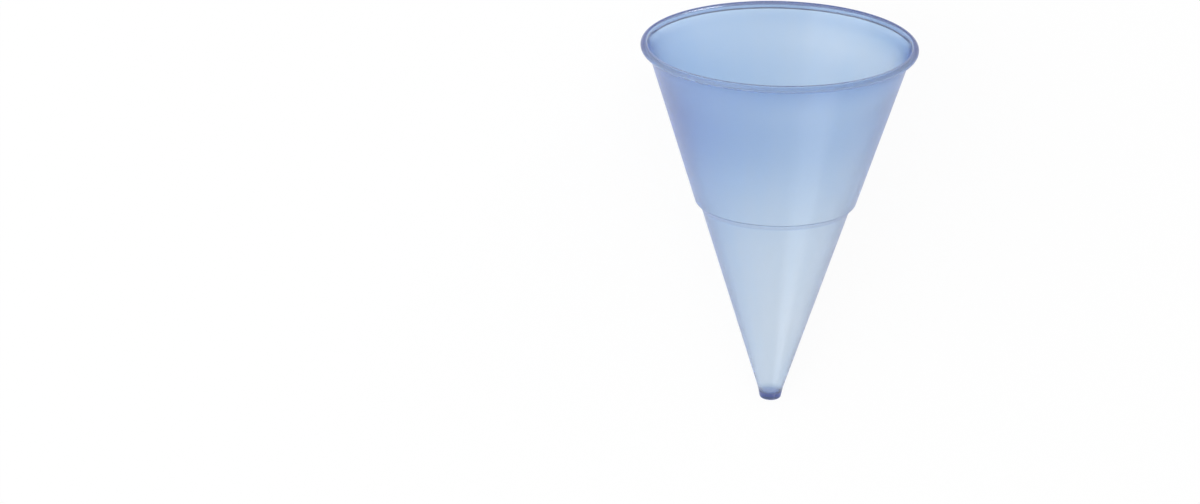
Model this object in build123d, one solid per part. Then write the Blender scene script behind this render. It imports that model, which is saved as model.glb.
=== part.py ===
from build123d import *
import math
import os

# Disposable cone cup, formed in one piece from thin translucent plastic.
# Its section is drawn upright, with the tip end at the origin and the axis along +Z, and is turned into one solid.
# The cup can't stand on its tip, so it is then laid on its side, mouth towards -Y: the lip and the edge of the
# tip touch the ground at Z = 0. Sizes are millimetres.

# Driving dimensions
rim_diameter = 70.0  # over the rolled lip
cup_height = 95.0  # tip end to the crown of the lip, along the axis
upper_wall = 0.45  # from the lip down to the stacking shoulder
lower_wall = 0.24  # the wall is drawn thinner below the shoulder
lip_diameter = 2.0  # the rolled lip's own section
lip_gap = 0.4  # from the free edge of the roll back to the wall
lip_outer_flat = 0.4  # the roll is drawn as flats of about this length, within 0.03 mm of round outside
lip_inner_flat = 0.54
shoulder_height = 51.8  # tip end to the foot of the stacking shoulder
shoulder_rise = 1.5  # the shoulder's ledge, measured along the axis
shoulder_width = 1.5  # the same ledge, measured outwards
shoulder_fillet = 0.25
tip_height = 3.0  # the blunt end below the tapered wall
tip_top_diameter = 6.4  # where the blunt end meets the tapered wall
tip_end_diameter = 5.2  # at the very end, before its edge is rounded
tip_edge_fillet = 0.9
tip_blend_fillet = 1.5  # softens the change of taper above the blunt end
tip_floor = 2.7  # solid plastic under the bottom of the hollow


def point_on(centre, radius, direction):
    # The point at that radius from a centre, along a unit direction
    return (centre[0] + radius * direction[0], centre[1] + radius * direction[1])


# The rolled lip, and the one taper that takes the wall from the tip, over the ledge, to the lip
lip_radius = lip_diameter / 2
lip_hollow = lip_radius - upper_wall
lip_centre = (rim_diameter / 2 - lip_radius, cup_height - lip_radius)
reach_out = lip_centre[0] - tip_top_diameter / 2 - shoulder_width
reach_up = lip_centre[1] - tip_height - shoulder_rise
taper = math.acos(lip_hollow / math.hypot(reach_out, reach_up)) - math.atan2(reach_up, reach_out)
inward = (-math.cos(taper), math.sin(taper))  # square to the wall, towards the hollow

# Corners of the outer skin, from the tip upwards
tip_edge = (tip_end_diameter / 2, 0.0)
tip_top = (tip_top_diameter / 2, tip_height)
ledge_foot = (tip_top[0] + (shoulder_height - tip_height) * math.tan(taper), shoulder_height)
ledge_top = (ledge_foot[0] + shoulder_width, shoulder_height + shoulder_rise)

# Corners of the inner skin, a wall's thickness inside
inner_ledge_foot = point_on(ledge_foot, lower_wall, inward)
inner_ledge_top = point_on(ledge_top, upper_wall, inward)
floor_edge = (inner_ledge_foot[0] - (inner_ledge_foot[1] - tip_floor) * math.tan(taper), tip_floor)

# How far the lip rolls, from the inner skin outwards over the crown and back to its gap from the wall
lip_roll = 2 * math.pi - math.acos((lip_hollow - lip_gap) / lip_radius)


def rolled(radius, flat):
    # Points round the roll at one radius, from the wall to the free edge
    start = math.pi - taper
    flats = round(lip_roll * radius / flat)
    turns = [start - lip_roll * step / flats for step in range(flats + 1)]
    return [point_on(lip_centre, radius, (math.cos(turn), math.sin(turn))) for turn in turns]


def cup_section():
    # The wall cut on one side of the axis, as one closed face
    outer_roll = rolled(lip_radius, lip_outer_flat)
    inner_roll = rolled(lip_hollow, lip_inner_flat)
    outer_skin = FilletPolyline(
        (0, 0),
        tip_edge,
        tip_top,
        ledge_foot,
        ledge_top,
        inner_roll[0],
        radius=[tip_edge_fillet, tip_blend_fillet, shoulder_fillet, shoulder_fillet],
    )
    roll_and_inner_skin = Polyline(
        *inner_roll,
        *reversed(outer_roll),
        inner_ledge_top,
        inner_ledge_foot,
        floor_edge,
        (0, tip_floor),
        (0, 0),
    )
    return make_face([*outer_skin.edges(), *roll_and_inner_skin.edges()])


def resting_lean(support, support_radius):
    # How far the axis leans from the ground when the lip and this rounded support both touch it
    out, up = lip_centre[0] - support[0], lip_centre[1] - support[1]
    return math.atan2(out, up) + math.asin((lip_radius - support_radius) / math.hypot(out, up))


def laid_on_side(upright):
    # The cup tips towards its tip until the tip's edge, or a ledge that stands out further, meets the ground
    end_flare = math.atan2(tip_top[0] - tip_edge[0], tip_height)
    edge_inset = tip_edge_fillet * math.tan((math.pi / 2 - end_flare) / 2)
    edge_centre = (tip_edge[0] - edge_inset, tip_edge_fillet)
    lean = min(resting_lean(edge_centre, tip_edge_fillet), resting_lean(ledge_top, 0))
    lift = lip_centre[0] * math.cos(lean) - lip_centre[1] * math.sin(lean) + lip_radius
    mouth_y = -lip_centre[0] * math.sin(lean) - lip_centre[1] * math.cos(lean) - lip_radius
    tip_y = edge_centre[0] * math.sin(lean) - edge_centre[1] * math.cos(lean) + tip_edge_fillet
    return Pos(0, -(mouth_y + tip_y) / 2, lift) * Rot(90 - math.degrees(lean), 0, 0) * upright


# The section is drawn on the side of the axis that comes to lie lowest
cup = laid_on_side(revolve(Plane.left * cup_section(), Axis.Z))

os.makedirs("parts", exist_ok=True)
export_step(cup, "parts/cup.step")
print("wall taper", round(math.degrees(taper), 2), "degrees, lip rolled", round(math.degrees(lip_roll)), "degrees")
print("plastic", round(cup.volume, 1), "cubic mm, box", cup.bounding_box().size)
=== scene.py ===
import math

import bpy
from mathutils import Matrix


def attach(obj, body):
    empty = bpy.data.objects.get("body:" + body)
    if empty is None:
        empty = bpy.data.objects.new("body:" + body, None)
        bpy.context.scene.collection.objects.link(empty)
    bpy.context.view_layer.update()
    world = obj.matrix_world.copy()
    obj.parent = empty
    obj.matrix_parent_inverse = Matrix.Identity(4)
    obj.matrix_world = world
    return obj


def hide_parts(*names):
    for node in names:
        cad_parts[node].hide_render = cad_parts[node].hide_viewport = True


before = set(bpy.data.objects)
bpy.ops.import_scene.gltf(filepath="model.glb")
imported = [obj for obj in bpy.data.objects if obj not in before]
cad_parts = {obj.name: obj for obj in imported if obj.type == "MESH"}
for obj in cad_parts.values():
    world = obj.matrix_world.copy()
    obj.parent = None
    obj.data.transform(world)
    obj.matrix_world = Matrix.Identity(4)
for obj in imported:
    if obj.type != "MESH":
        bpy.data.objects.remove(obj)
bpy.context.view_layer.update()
scene = bpy.context.scene
scene.view_settings.view_transform = "Standard"
print("frame loaded, nodes:", sorted(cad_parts))


# small helpers for node trees
def addNode(tree, kind, label=None, **settings):
    node = tree.nodes.new(kind)
    if label:
        node.label = label
    for name, value in settings.items():
        setattr(node, name, value)
    return node


def wire(tree, source, target):
    tree.links.new(source, target)


def mathNode(tree, operation, first, second=None):
    node = addNode(tree, "ShaderNodeMath", operation=operation)
    for socket, value in zip(node.inputs, (first, second)):
        if value is None:
            continue
        if isinstance(value, (int, float)):
            socket.default_value = value
        else:
            wire(tree, value, socket)
    return node.outputs[0]


def ramp(tree, value, fromLow, fromHigh, toLow=0.0, toHigh=1.0):
    # a smooth step of one value between two others
    node = addNode(tree, "ShaderNodeMapRange", interpolation_type="SMOOTHSTEP")
    wire(tree, value, node.inputs["Value"])
    names = ("From Min", "From Max", "To Min", "To Max")
    for name, number in zip(names, (fromLow, fromHigh, toLow, toHigh)):
        node.inputs[name].default_value = number
    return node.outputs["Result"]


# the cup, sizes in millimetres: drawn upright, tip end at the origin, then laid on its side
cup = {
    "rimDiameter": 70.0,
    "cupHeight": 95.0,
    "lipWall": 0.45,  # where the wall runs into the roll
    "beadWall": 0.40,  # round the rest of the roll
    "beadShare": 0.25,  # of the roll, over which the one runs into the other
    "wallBands": (  # height up the axis, and the wall's thickness there
        (0.0, 0.15),
        (14.0, 0.15),
        (38.0, 0.19),
        (51.0, 0.25),
        (58.0, 0.31),
        (66.0, 0.45),
        (74.0, 0.58),
        (80.0, 0.60),
        (86.0, 0.53),
        (89.5, 0.58),
        (92.0, 0.72),
    ),
    "lipDiameter": 2.0,
    "lipGap": 0.4,
    "shoulderHeight": 51.8,
    "shoulderRise": 1.5,
    "shoulderWidth": 1.5,
    "shoulderFillet": 0.25,
    "tipHeight": 3.0,
    "tipTopDiameter": 6.4,
    "tipEndDiameter": 5.2,
    "tipEdgeFillet": 0.9,
    "tipBlendFillet": 1.5,
    "tipFloor": 1.7,  # solid plastic under the hollow
    "floorFillet": 1.2,
    "bandFillet": 12.0,  # where the wall's thickness changes
    "ringSpacing": 1.5,  # along the straight walls
    "arcStep": 12.0,  # degrees, along fillets and the rolled lip
    "stepsAround": 300,
    "guideRadius": 1.0,  # the small circle that the section is turned on
    "mergeReach": 0.002,  # points closer than this become one
    "rippleDepth": 0.05,  # how far the thin wall wanders, both skins together
    "rippleSize": 26.0,
    "thicknessDrift": 0.2,  # how far the inner skin wanders by itself, as a share of the wall
    "thickSide": (0.42, -0.1),  # share by which the wall is heavier, sideways and on its upper side
    "driftSize": 15.0,
    "wanderDetail": 1.0,
    "heldTip": (0.05, 0.2),  # shares of the height, from held round to free to wander
    "heldLip": (0.98, 0.9),
    "seed": 4.0,
    "driftSeed": 10.0,  # added to the seed, so that ripple and drift differ
}


def onCircle(centre, radius, angle):
    return (centre[0] + radius * math.cos(angle), centre[1] + radius * math.sin(angle))


def arc(centre, radius, start, end):
    steps = max(2, math.ceil(abs(end - start) / math.radians(cup["arcStep"])))
    return [onCircle(centre, radius, start + (end - start) * i / steps) for i in range(steps + 1)]


def straightRun(first, last):
    # points between two ends, without the ends
    steps = max(1, round(math.dist(first, last) / cup["ringSpacing"]))
    return [
        (first[0] + (last[0] - first[0]) * i / steps, first[1] + (last[1] - first[1]) * i / steps)
        for i in range(1, steps)
    ]


def roundedCorner(before, corner, after, radius):
    # an arc in place of a corner between two straight runs
    inAngle = math.atan2(corner[1] - before[1], corner[0] - before[0])
    outAngle = math.atan2(after[1] - corner[1], after[0] - corner[0])
    turn = (outAngle - inAngle + math.pi) % (2 * math.pi) - math.pi
    side = math.copysign(math.pi / 2, turn)
    setback = radius * math.tan(abs(turn) / 2)
    start = onCircle(corner, setback, inAngle + math.pi)
    centre = onCircle(start, radius, inAngle + side)
    return arc(centre, radius, inAngle - side, inAngle - side + turn)


def roundedSkin(corners, fillets):
    # a line through the corners, each inner one rounded, with rings along its straight runs
    pieces = [[corners[0]]]
    for i, radius in enumerate(fillets, start=1):
        pieces.append(roundedCorner(corners[i - 1], corners[i], corners[i + 1], radius))
    pieces.append([corners[-1]])
    points = []
    for piece in pieces:
        if points:
            points += straightRun(points[-1], piece[0])
        points += piece
    return points


# corners of the wall's section and the way the cup lies, all from the sizes above
lipRadius = cup["lipDiameter"] / 2
lipHollow = lipRadius - cup["lipWall"]
lipCentre = (cup["rimDiameter"] / 2 - lipRadius, cup["cupHeight"] - lipRadius)
reachOut = lipCentre[0] - cup["tipTopDiameter"] / 2 - cup["shoulderWidth"]
reachUp = lipCentre[1] - cup["tipHeight"] - cup["shoulderRise"]
taper = math.acos(lipHollow / math.hypot(reachOut, reachUp)) - math.atan2(reachUp, reachOut)
lipRoll = 2 * math.pi - math.acos((lipHollow - cup["lipGap"]) / lipRadius)
rollStart = math.pi - taper
rollEnd = rollStart - lipRoll
tipEdge = (cup["tipEndDiameter"] / 2, 0.0)
tipTop = (cup["tipTopDiameter"] / 2, cup["tipHeight"])
ledgeFoot = (
    tipTop[0] + (cup["shoulderHeight"] - cup["tipHeight"]) * math.tan(taper),
    cup["shoulderHeight"],
)
ledgeTop = (ledgeFoot[0] + cup["shoulderWidth"], cup["shoulderHeight"] + cup["shoulderRise"])

# it rests on the lip and on the rounded edge of the tip
endFlare = math.atan2(tipTop[0] - tipEdge[0], cup["tipHeight"])
edgeInset = cup["tipEdgeFillet"] * math.tan((math.pi / 2 - endFlare) / 2)
edgeCentre = (tipEdge[0] - edgeInset, cup["tipEdgeFillet"])
restOut, restUp = lipCentre[0] - edgeCentre[0], lipCentre[1] - edgeCentre[1]
lean = math.atan2(restOut, restUp)
lean += math.asin((lipRadius - cup["tipEdgeFillet"]) / math.hypot(restOut, restUp))
lift = lipCentre[0] * math.cos(lean) - lipCentre[1] * math.sin(lean) + lipRadius
mouthEnd = -lipCentre[0] * math.sin(lean) - lipCentre[1] * math.cos(lean) - lipRadius
tipReach = edgeCentre[0] * math.sin(lean) - edgeCentre[1] * math.cos(lean) + cup["tipEdgeFillet"]
shift = -(mouthEnd + tipReach) / 2
millimetre = 0.001
layTurn = (math.pi / 2 - lean, 0.0, 0.0)
layPlace = (0.0, shift * millimetre, lift * millimetre)


def metres(span, start=0.0):
    # a span of millimetres, measured from a start
    return [(start + end) * millimetre for end in span]


def wallAt(height):
    # the wall's thickness at a height, between the bands
    bands = cup["wallBands"]
    for (low, thin), (high, thick) in zip(bands, bands[1:]):
        if height <= high:
            break
    share = min(max((height - low) / (high - low), 0.0), 1.0)
    return thin + (thick - thin) * share


def innerSkin():
    # the outer skin moved in by the wall's thickness, from the lip down to the floor of the hollow
    inward = math.pi - taper
    ledgeSlope = math.atan2(cup["shoulderRise"], cup["shoulderWidth"])
    ledgeInward = ledgeSlope + math.pi / 2
    halfTurn = (inward - ledgeInward) / 2

    def insideOf(corner, height, wall):
        # across from a point of the straight wall that passes through that corner
        outside = (corner[0] + (height - corner[1]) * math.tan(taper), height)
        return onCircle(outside, wall, inward)

    corners = [onCircle(lipCentre, lipRadius, rollStart)]
    fillets = []
    for height, wall in reversed(cup["wallBands"]):
        if height > ledgeTop[1]:
            corners.append(insideOf(ledgeTop, height, wall))
            fillets.append(cup["bandFillet"])
    for corner in (ledgeTop, ledgeFoot):
        reach = wallAt(corner[1]) / math.cos(halfTurn)
        corners.append(onCircle(corner, reach, ledgeInward + halfTurn))
        fillets.append(cup["shoulderFillet"])
    for height, wall in reversed(cup["wallBands"]):
        if cup["tipHeight"] < height < ledgeFoot[1]:
            corners.append(insideOf(tipTop, height, wall))
            fillets.append(cup["bandFillet"])
    last = corners[-1]
    corners.append((last[0] - (last[1] - cup["tipFloor"]) * math.tan(taper), cup["tipFloor"]))
    fillets.append(cup["floorFillet"])
    corners.append((0.0, cup["tipFloor"]))
    return roundedSkin(corners, fillets)


def rollInside():
    # the hollow of the roll, which changes over its first part as the wall there does
    steps = math.ceil(lipRoll / math.radians(cup["arcStep"]))
    points = []
    for i in range(steps + 1):
        changed = min(i / (steps * cup["beadShare"]), 1.0)
        radius = lipHollow + (lipRadius - cup["beadWall"] - lipHollow) * changed
        points.append(onCircle(lipCentre, radius, rollStart + (rollEnd - rollStart) * i / steps))
    return points


def cupSection():
    # the wall cut on one side of the axis: up the outer skin, round the lip, down the inner skin,
    # with the wall's thickness at each point of the inner skin and none elsewhere
    fillet = cup["shoulderFillet"]
    outer = roundedSkin(
        [(0.0, 0.0), tipEdge, tipTop, ledgeFoot, ledgeTop, onCircle(lipCentre, lipHollow, rollStart)],
        [cup["tipEdgeFillet"], cup["tipBlendFillet"], fillet, fillet],
    )
    hollow = rollInside()
    halfWall = cup["beadWall"] / 2
    edgeMiddle = onCircle(lipCentre, lipRadius - halfWall, rollEnd)
    edge = arc(edgeMiddle, halfWall, rollEnd + math.pi, rollEnd)
    crown = arc(lipCentre, lipRadius, rollEnd, rollStart)
    inner = innerSkin()
    points = outer + hollow[1:] + edge[1:-1] + crown[:-1] + inner
    walls = [0.0] * (len(points) - len(inner)) + [wallAt(height) for _, height in inner]
    return points, walls


def cupTree():
    # turns the section about its axis, lets the wall wander a little, and lays the cup down
    tree = bpy.data.node_groups.new("cupTurned", "GeometryNodeTree")
    sockets = {}
    for name, kind in (
        ("Section", "NodeSocketGeometry"),
        ("Steps Around", "NodeSocketInt"),
        ("Ripple Depth", "NodeSocketFloat"),
        ("Ripple Size", "NodeSocketFloat"),
        ("Thickness Drift", "NodeSocketFloat"),
        ("Drift Size", "NodeSocketFloat"),
        ("Thick Side", "NodeSocketVector"),
        ("Seed", "NodeSocketFloat"),
        ("Lip Height", "NodeSocketFloat"),
        ("Lay Turn", "NodeSocketVector"),
        ("Lay Place", "NodeSocketVector"),
        ("Plastic", "NodeSocketMaterial"),
    ):
        sockets[name] = tree.interface.new_socket(name, in_out="INPUT", socket_type=kind).identifier
    tree.interface.new_socket("Cup", in_out="OUTPUT", socket_type="NodeSocketGeometry")
    given = addNode(tree, "NodeGroupInput").outputs
    result = addNode(tree, "NodeGroupOutput")

    # the section as a profile beside a small guide circle
    guide = cup["guideRadius"] * millimetre
    toCurve = addNode(tree, "GeometryNodeMeshToCurve")
    wire(tree, given["Section"], toCurve.inputs["Mesh"])
    place = addNode(tree, "GeometryNodeInputPosition")
    split = addNode(tree, "ShaderNodeSeparateXYZ")
    wire(tree, place.outputs[0], split.inputs[0])
    flat = addNode(tree, "ShaderNodeCombineXYZ")
    wire(tree, mathNode(tree, "SUBTRACT", split.outputs["X"], guide), flat.inputs["X"])
    wire(tree, mathNode(tree, "MULTIPLY", split.outputs["Z"], -1.0), flat.inputs["Y"])
    profile = addNode(tree, "GeometryNodeSetPosition")
    wire(tree, toCurve.outputs["Curve"], profile.inputs["Geometry"])
    wire(tree, flat.outputs[0], profile.inputs["Position"])
    circle = addNode(tree, "GeometryNodeCurvePrimitiveCircle")
    circle.inputs["Radius"].default_value = guide
    wire(tree, given["Steps Around"], circle.inputs["Resolution"])
    upright = addNode(tree, "GeometryNodeSetCurveNormal", mode="Z_UP")
    wire(tree, circle.outputs["Curve"], upright.inputs["Curve"])
    turned = addNode(tree, "GeometryNodeCurveToMesh")
    wire(tree, upright.outputs["Curve"], turned.inputs["Curve"])
    wire(tree, profile.outputs["Geometry"], turned.inputs["Profile Curve"])
    outFacing = addNode(tree, "GeometryNodeFlipFaces")
    wire(tree, turned.outputs["Mesh"], outFacing.inputs["Mesh"])
    closed = addNode(tree, "GeometryNodeMergeByDistance")
    closed.inputs["Distance"].default_value = cup["mergeReach"] * millimetre
    wire(tree, outFacing.outputs["Mesh"], closed.inputs["Geometry"])

    # the wall wanders between the tip and the lip, where it is held round
    spot = addNode(tree, "GeometryNodeInputPosition")
    parts = addNode(tree, "ShaderNodeSeparateXYZ")
    wire(tree, spot.outputs[0], parts.inputs[0])
    share = mathNode(tree, "DIVIDE", parts.outputs["Z"], given["Lip Height"])
    freeAbove = ramp(tree, share, *cup["heldTip"])
    freeBelow = ramp(tree, share, *cup["heldLip"])
    free = mathNode(tree, "MULTIPLY", freeAbove, freeBelow)
    outward = addNode(tree, "ShaderNodeVectorMath", operation="MULTIPLY")
    wire(tree, spot.outputs[0], outward.inputs[0])
    outward.inputs[1].default_value = (1.0, 1.0, 0.0)
    unit = addNode(tree, "ShaderNodeVectorMath", operation="NORMALIZE")
    wire(tree, outward.outputs[0], unit.inputs[0])

    def wander(size, depth, seedStep):
        # a soft noise of that size and depth, as much in as out
        noise = addNode(tree, "ShaderNodeTexNoise", noise_dimensions="4D")
        noise.inputs["Detail"].default_value = cup["wanderDetail"]
        wire(tree, mathNode(tree, "DIVIDE", 1.0, size), noise.inputs["Scale"])
        wire(tree, mathNode(tree, "ADD", given["Seed"], seedStep), noise.inputs["W"])
        centred = mathNode(tree, "SUBTRACT", noise.outputs[0], 0.5)
        return mathNode(tree, "MULTIPLY", mathNode(tree, "MULTIPLY", centred, depth), free)

    # both skins ripple together, and the inner skin drifts by itself and is heavier on one side
    wall = addNode(tree, "GeometryNodeInputNamedAttribute", data_type="FLOAT")
    wall.inputs["Name"].default_value = "wall"
    side = addNode(tree, "ShaderNodeVectorMath", operation="DOT_PRODUCT")
    wire(tree, unit.outputs[0], side.inputs[0])
    wire(tree, given["Thick Side"], side.inputs[1])
    heavier = mathNode(tree, "MULTIPLY", side.outputs["Value"], free)
    ripple = wander(given["Ripple Size"], given["Ripple Depth"], 0.0)
    drift = wander(given["Drift Size"], given["Thickness Drift"], cup["driftSeed"])
    drift = mathNode(tree, "SUBTRACT", drift, heavier)
    drift = mathNode(tree, "MULTIPLY", drift, wall.outputs["Attribute"])
    offset = addNode(tree, "ShaderNodeVectorMath", operation="SCALE")
    wire(tree, unit.outputs[0], offset.inputs[0])
    wire(tree, mathNode(tree, "ADD", ripple, drift), offset.inputs["Scale"])
    wandered = addNode(tree, "GeometryNodeSetPosition")
    wire(tree, closed.outputs["Geometry"], wandered.inputs["Geometry"])
    wire(tree, offset.outputs[0], wandered.inputs["Offset"])

    laid = addNode(tree, "GeometryNodeTransform")
    wire(tree, wandered.outputs["Geometry"], laid.inputs["Geometry"])
    wire(tree, given["Lay Turn"], laid.inputs["Rotation"])
    wire(tree, given["Lay Place"], laid.inputs["Translation"])
    smooth = addNode(tree, "GeometryNodeSetShadeSmooth")
    wire(tree, laid.outputs["Geometry"], smooth.inputs["Geometry"])
    real = addNode(tree, "GeometryNodeRealizeInstances")
    wire(tree, smooth.outputs["Geometry"], real.inputs["Geometry"])
    dressed = addNode(tree, "GeometryNodeSetMaterial")
    wire(tree, real.outputs["Geometry"], dressed.inputs["Geometry"])
    wire(tree, given["Plastic"], dressed.inputs["Material"])
    wire(tree, dressed.outputs["Geometry"], result.inputs["Cup"])
    return tree, sockets


# the plastic: clear blue sheet with a frosted, faintly streaked face. The lip is clear, but has
# painted shade on the outer shoulder of its roll and is rougher and a little deeper in tint on its
# uppermost side, the ledge has painted shade lines along its creases, and the solid tip is dark
plastic = {
    "paleTint": (0.99, 0.997, 1.0, 1.0),
    "deepTint": (0.95, 0.98, 1.0, 1.0),
    "tintSpan": (0.35, 0.65),  # of the streaks and patches, from pale to deep
    "lipTint": (0.95, 0.98, 1.0, 1.0),
    "lipSpan": (-3.2, -1.8),  # millimetres from the crown, from wall to lip
    # painted shade: the dark band on the outer shoulder of the roll
    "rollShadeTint": (0.07, 0.11, 0.34, 1.0),
    "rollShadeSpan": (0.2, 0.55),  # shares of the lip's radius, slantwise outwards and up
    # the lip's uppermost side as the cup lies: a little deeper in tint and rougher
    "topLipTint": (0.93, 0.965, 1.0, 1.0),
    "topLipSpan": (0.0, 22.0),  # millimetres above the axis as the cup lies
    "tipTint": (0.42, 0.57, 0.73, 1.0),
    "tipSpan": (0.2, -2.0),  # millimetres from the top of the blunt end, from wall to tip
    # painted shade: dark lines along the foot and the top of the ledge
    "ledgeShadeTint": (0.72, 0.82, 0.94, 1.0),
    "ledgeShadeWidth": 0.16,  # millimetres
    "clearShare": 0.885,
    "sheen": 0.28,
    "sheenTint": (0.20, 0.35, 1.0, 1.0),
    "sheenRoughness": 0.45,
    "absorbColour": (0.0, 0.425, 0.83, 1.0),
    "absorbDensity": 1180.0,
    "ior": 1.49,
    "wallRoughness": 0.22,
    "lowerRoughness": 0.19,
    "coneSpan": (-20.0, 20.0),  # millimetres from the shoulder, from lower to upper wall
    "wallVariation": 0.015,
    "lipRoughness": 0.07,
    "topLipRoughness": 0.23,
    "tipRoughness": 0.10,
    "noiseDetail": 2.0,
    "mottleScale": 60.0,
    "streakScale": 300.0,
    "streakRing": 0.02,  # metres, the ring that the streaks are laid out on
    "streakRise": 0.06,  # how slowly they change up the wall
    "grainScale": 2600.0,
    "grainShare": 0.1,  # of the relief, beside the streaks
    "bumpStrength": 0.10,
    "bumpDistance": 0.0002,
}


def plasticNoise(tree, label, scale, vector):
    noise = addNode(tree, "ShaderNodeTexNoise", label)
    noise.inputs["Scale"].default_value = scale
    noise.inputs["Detail"].default_value = plastic["noiseDetail"]
    wire(tree, vector, noise.inputs["Vector"])
    return noise.outputs[0]


def layered(tree, kind, base, layers):
    # finishes laid over each other, each where its mask is one
    shown = base
    for mask, finish in layers:
        layer = addNode(tree, "ShaderNodeMix", data_type=kind)
        wire(tree, mask, layer.inputs["Factor"])
        wire(tree, shown, layer.inputs["A"])
        layer.inputs["B"].default_value = finish
        shown = layer.outputs["Result"]
    return shown


def frostedPlastic():
    material = bpy.data.materials.new("frostedPlastic")
    material.use_nodes = True
    tree = material.node_tree
    tree.nodes.clear()
    output = addNode(tree, "ShaderNodeOutputMaterial")
    surface = addNode(tree, "ShaderNodeBsdfPrincipled")
    surface.inputs["Transmission Weight"].default_value = plastic["clearShare"]
    surface.inputs["IOR"].default_value = plastic["ior"]
    surface.inputs["Sheen Weight"].default_value = plastic["sheen"]
    surface.inputs["Sheen Tint"].default_value = plastic["sheenTint"]
    surface.inputs["Sheen Roughness"].default_value = plastic["sheenRoughness"]
    wire(tree, surface.outputs[0], output.inputs["Surface"])
    volume = addNode(tree, "ShaderNodeVolumeAbsorption")
    volume.inputs["Color"].default_value = plastic["absorbColour"]
    volume.inputs["Density"].default_value = plastic["absorbDensity"]
    wire(tree, volume.outputs[0], output.inputs["Volume"])

    # the cup's own upright coordinates: Z runs up its axis from the tip
    coords = addNode(tree, "ShaderNodeTexCoord")
    upright = addNode(tree, "ShaderNodeMapping", vector_type="TEXTURE")
    upright.inputs["Location"].default_value = layPlace
    upright.inputs["Rotation"].default_value = layTurn
    wire(tree, coords.outputs["Object"], upright.inputs["Vector"])
    split = addNode(tree, "ShaderNodeSeparateXYZ")
    wire(tree, upright.outputs[0], split.inputs[0])
    height = split.outputs["Z"]
    flat = addNode(tree, "ShaderNodeVectorMath", operation="MULTIPLY")
    wire(tree, upright.outputs[0], flat.inputs[0])
    flat.inputs[1].default_value = (1.0, 1.0, 0.0)
    radius = addNode(tree, "ShaderNodeVectorMath", operation="LENGTH")
    wire(tree, flat.outputs[0], radius.inputs[0])

    # streaks follow the slope of the wall
    unit = addNode(tree, "ShaderNodeVectorMath", operation="NORMALIZE")
    wire(tree, flat.outputs[0], unit.inputs[0])
    ring = addNode(tree, "ShaderNodeVectorMath", operation="SCALE")
    ring.inputs["Scale"].default_value = plastic["streakRing"]
    wire(tree, unit.outputs[0], ring.inputs[0])
    rise = addNode(tree, "ShaderNodeCombineXYZ")
    wire(tree, mathNode(tree, "MULTIPLY", height, plastic["streakRise"]), rise.inputs["Z"])
    along = addNode(tree, "ShaderNodeVectorMath", operation="ADD")
    wire(tree, ring.outputs[0], along.inputs[0])
    wire(tree, rise.outputs[0], along.inputs[1])
    streak = plasticNoise(tree, "streaks", plastic["streakScale"], along.outputs[0])
    mottle = plasticNoise(tree, "soft patches", plastic["mottleScale"], upright.outputs[0])
    grain = plasticNoise(tree, "frost", plastic["grainScale"], upright.outputs[0])

    # masks: lip, tip, painted shade on the outer shoulder of the roll, uppermost side of the lip,
    # painted shade lines along the ledge's creases
    lipMask = ramp(tree, height, *metres(plastic["lipSpan"], cup["cupHeight"]))
    tipMask = ramp(tree, height, *metres(plastic["tipSpan"], cup["tipHeight"]))
    outAndUp = mathNode(tree, "ADD", radius.outputs["Value"], height)
    # painted shade on the roll's outer shoulder, slantwise outwards and up
    rollShadeReach = [share * math.sqrt(2) * lipRadius for share in plastic["rollShadeSpan"]]
    rollShadeMask = ramp(tree, outAndUp, *metres(rollShadeReach, sum(lipCentre)))
    uppermost = ramp(tree, split.outputs["Y"], *metres(plastic["topLipSpan"]))
    topLipMask = mathNode(tree, "MULTIPLY", lipMask, uppermost)
    # painted shade lines along the ledge's foot and top
    ledgeShades = 0.0
    for level in (ledgeFoot[1], ledgeTop[1]):
        away = mathNode(tree, "SUBTRACT", height, level * millimetre)
        away = mathNode(tree, "ABSOLUTE", away)
        ledgeShadeLine = ramp(tree, away, plastic["ledgeShadeWidth"] * millimetre, 0.0)
        ledgeShades = mathNode(tree, "MAXIMUM", ledgeShadeLine, ledgeShades)

    # tint wanders with the patches and the streaks
    blend = mathNode(tree, "MULTIPLY", mathNode(tree, "ADD", mottle, streak), 0.5)
    tint = addNode(tree, "ShaderNodeMix", data_type="RGBA")
    wire(tree, ramp(tree, blend, *plastic["tintSpan"]), tint.inputs["Factor"])
    tint.inputs["A"].default_value = plastic["paleTint"]
    tint.inputs["B"].default_value = plastic["deepTint"]
    # the roll's layer and the ledge's layer are painted shade
    tints = (
        (lipMask, plastic["lipTint"]),
        (rollShadeMask, plastic["rollShadeTint"]),
        (topLipMask, plastic["topLipTint"]),
        (tipMask, plastic["tipTint"]),
        (ledgeShades, plastic["ledgeShadeTint"]),
    )
    colour = layered(tree, "RGBA", tint.outputs["Result"], tints)
    wire(tree, colour, surface.inputs["Base Color"])

    # frosted wall, a little smoother below the shoulder, then the lip, its uppermost side and the tip
    wander = mathNode(tree, "SUBTRACT", blend, 0.5)
    wander = mathNode(tree, "MULTIPLY", wander, 2 * plastic["wallVariation"])
    coneSpan = metres(plastic["coneSpan"], cup["shoulderHeight"])
    cone = ramp(tree, height, *coneSpan, plastic["lowerRoughness"], plastic["wallRoughness"])
    finishes = (
        (lipMask, plastic["lipRoughness"]),
        (topLipMask, plastic["topLipRoughness"]),
        (tipMask, plastic["tipRoughness"]),
    )
    roughness = layered(tree, "FLOAT", mathNode(tree, "ADD", wander, cone), finishes)
    wire(tree, roughness, surface.inputs["Roughness"])

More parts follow.
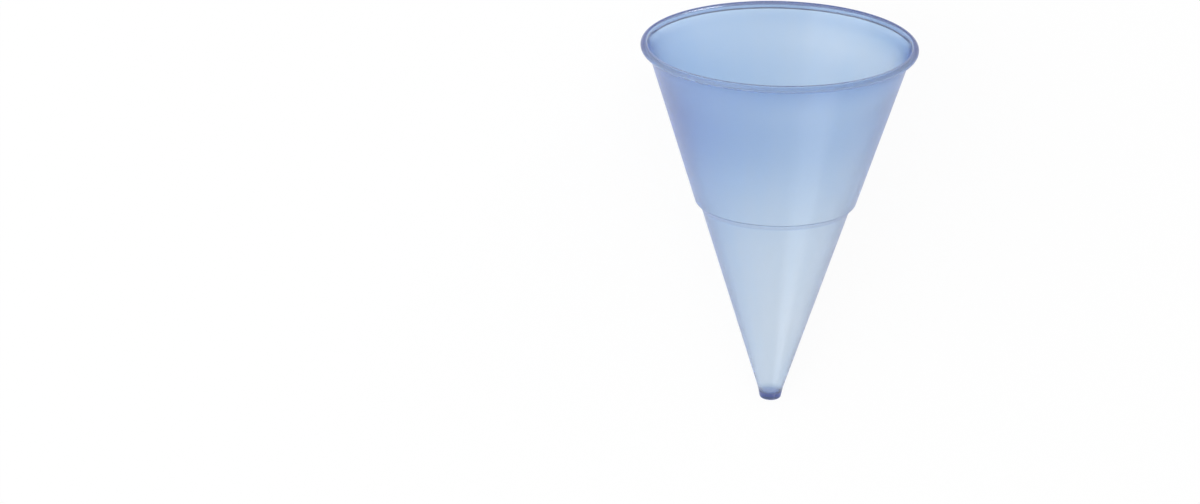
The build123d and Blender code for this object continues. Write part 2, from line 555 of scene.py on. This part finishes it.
    # streaks and frost stand in faint relief, except on the lip
    bump = addNode(tree, "ShaderNodeBump")
    bump.inputs["Strength"].default_value = plastic["bumpStrength"]
    bump.inputs["Distance"].default_value = plastic["bumpDistance"]
    frost = mathNode(tree, "MULTIPLY", grain, plastic["grainShare"])
    relief = mathNode(tree, "ADD", streak, frost)
    relief = mathNode(tree, "MULTIPLY", relief, mathNode(tree, "SUBTRACT", 1.0, lipMask))
    wire(tree, relief, bump.inputs["Height"])
    wire(tree, bump.outputs[0], surface.inputs["Normal"])
    return material


def makeCup():
    points, walls = cupSection()
    section = bpy.data.meshes.new("cupSection")
    verts = [(r * millimetre, 0.0, h * millimetre) for r, h in points]
    section.from_pydata(verts, [(i, i + 1) for i in range(len(verts) - 1)], [])
    wall = section.attributes.new("wall", "FLOAT", "POINT")
    wall.data.foreach_set("value", metres(walls))
    sketch = bpy.data.objects.new("cupSketch", section)
    scene.collection.objects.link(sketch)
    tree, sockets = cupTree()
    turn = sketch.modifiers.new("turned", "NODES")
    turn.node_group = tree
    for name, value in (
        ("Steps Around", cup["stepsAround"]),
        ("Ripple Depth", cup["rippleDepth"] * millimetre),
        ("Ripple Size", cup["rippleSize"] * millimetre),
        ("Thickness Drift", cup["thicknessDrift"]),
        ("Drift Size", cup["driftSize"] * millimetre),
        ("Thick Side", (*cup["thickSide"], 0.0)),
        ("Seed", cup["seed"]),
        ("Lip Height", cup["cupHeight"] * millimetre),
        ("Lay Turn", layTurn),
        ("Lay Place", layPlace),
        ("Plastic", frostedPlastic()),
    ):
        turn[sockets[name]] = value
    graph = bpy.context.evaluated_depsgraph_get()
    shell = bpy.data.meshes.new_from_object(sketch.evaluated_get(graph), depsgraph=graph)
    shell.name = "coneCup"
    piece = bpy.data.objects.new("coneCup", shell)
    scene.collection.objects.link(piece)
    bpy.data.objects.remove(sketch)
    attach(piece, "root")
    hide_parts("cup")
    print("cup turned:", len(shell.vertices), "points,", len(shell.polygons), "faces")


# the white sweep under the cup: part plain white, part paper that shows the shadow
sweep = {
    "side": 6.0,  # metres
    "paper": 0.85,
    "glow": 0.93,  # the share of plain white, as the camera sees it
    "glowMirrored": 0.2,
    "glowThrough": 0.90,
}


def makeFloor():
    half = sweep["side"] / 2
    mesh = bpy.data.meshes.new("floor")
    corners = [(-half, -half, 0), (half, -half, 0), (half, half, 0), (-half, half, 0)]
    mesh.from_pydata(corners, [], [(0, 1, 2, 3)])
    floor = bpy.data.objects.new("floor", mesh)
    scene.collection.objects.link(floor)
    material = bpy.data.materials.new("whitePaper")
    material.use_nodes = True
    tree = material.node_tree
    tree.nodes.clear()
    output = addNode(tree, "ShaderNodeOutputMaterial")
    paper = addNode(tree, "ShaderNodeBsdfDiffuse")
    paper.inputs["Color"].default_value = (sweep["paper"], sweep["paper"], sweep["paper"], 1.0)
    white = addNode(tree, "ShaderNodeEmission")
    mix = addNode(tree, "ShaderNodeMixShader")
    path = addNode(tree, "ShaderNodeLightPath")
    seen = mathNode(tree, "MULTIPLY", path.outputs["Is Camera Ray"], sweep["glow"])
    mirrored = mathNode(tree, "MULTIPLY", path.outputs["Is Glossy Ray"], sweep["glowMirrored"])
    through = mathNode(tree, "MULTIPLY", path.outputs["Is Transmission Ray"], sweep["glowThrough"])
    shown = mathNode(tree, "MAXIMUM", mathNode(tree, "MAXIMUM", seen, mirrored), through)
    wire(tree, shown, mix.inputs["Fac"])
    wire(tree, paper.outputs[0], mix.inputs[1])
    wire(tree, white.outputs[0], mix.inputs[2])
    wire(tree, mix.outputs[0], output.inputs["Surface"])
    mesh.materials.append(material)
    print("floor laid")


# soft studio light: even white surroundings, a large softbox at one side, a low one in front
# and a small lamp that catches the lip. Places are metres, beams degrees and powers watts
studio = {
    "surround": 1.0,  # plain white
    "softboxes": (
        {
            "name": "key",
            "place": (1.05, -0.1, 0.8),
            "aim": (0.0, 0.0, 0.03),
            "size": (1.6, 1.4),
            "beam": 180.0,
            "power": 6.0,
        },
        {
            "name": "front",
            "place": (-0.56, 1.14, 0.2),
            "aim": (0.0, 0.0, 0.03),
            "size": (0.55, 0.34),
            "beam": 180.0,
            "power": 0.6,
        },
        {
            "name": "glint",
            "place": (-0.056, -0.136, 0.028),
            "aim": (0.02, -0.046, 0.003),
            "size": (0.03, 0.08),
            "beam": 45.0,
            "power": 0.008,
        },
    ),
}


def makeLight():
    world = bpy.data.worlds.new("studio")
    scene.world = world
    world.use_nodes = True
    tree = world.node_tree
    tree.nodes.clear()
    output = addNode(tree, "ShaderNodeOutputWorld")
    surround = addNode(tree, "ShaderNodeBackground")
    surround.inputs["Color"].default_value = (1.0, 1.0, 1.0, 1.0)
    surround.inputs["Strength"].default_value = studio["surround"]
    wire(tree, surround.outputs[0], output.inputs["Surface"])
    for box in studio["softboxes"]:
        data = bpy.data.lights.new(box["name"], "AREA")
        data.shape = "RECTANGLE"
        data.size, data.size_y = box["size"]
        data.energy = box["power"]
        data.spread = math.radians(box["beam"])
        lamp = bpy.data.objects.new(box["name"], data)
        lamp.location = box["place"]
        way = [a - b for a, b in zip(box["aim"], box["place"])]
        level = math.hypot(way[0], way[1])
        lamp.rotation_euler = (math.atan2(level, -way[2]), 0.0, math.atan2(-way[0], way[1]))
        lamp.visible_camera = False
        scene.collection.objects.link(lamp)
    print("lights set:", len(studio["softboxes"]))


# a long lens high above, looking almost straight down on the lying cup
camera = {
    "place": (0.04448, -0.00655, 2.22991),  # metres
    "tilt": -0.53,  # degrees
    "turn": 181.168,
    "lens": 262.44,  # millimetres
    "sensor": 36.0,
}


def makeCamera():
    data = bpy.data.cameras.new("camera")
    data.lens = camera["lens"]
    data.sensor_width = camera["sensor"]
    eye = bpy.data.objects.new("camera", data)
    eye.location = camera["place"]
    eye.rotation_euler = (math.radians(camera["tilt"]), 0.0, math.radians(camera["turn"]))
    scene.collection.objects.link(eye)
    scene.camera = eye
    print("camera set")


makeCup()
makeFloor()
makeLight()
makeCamera()
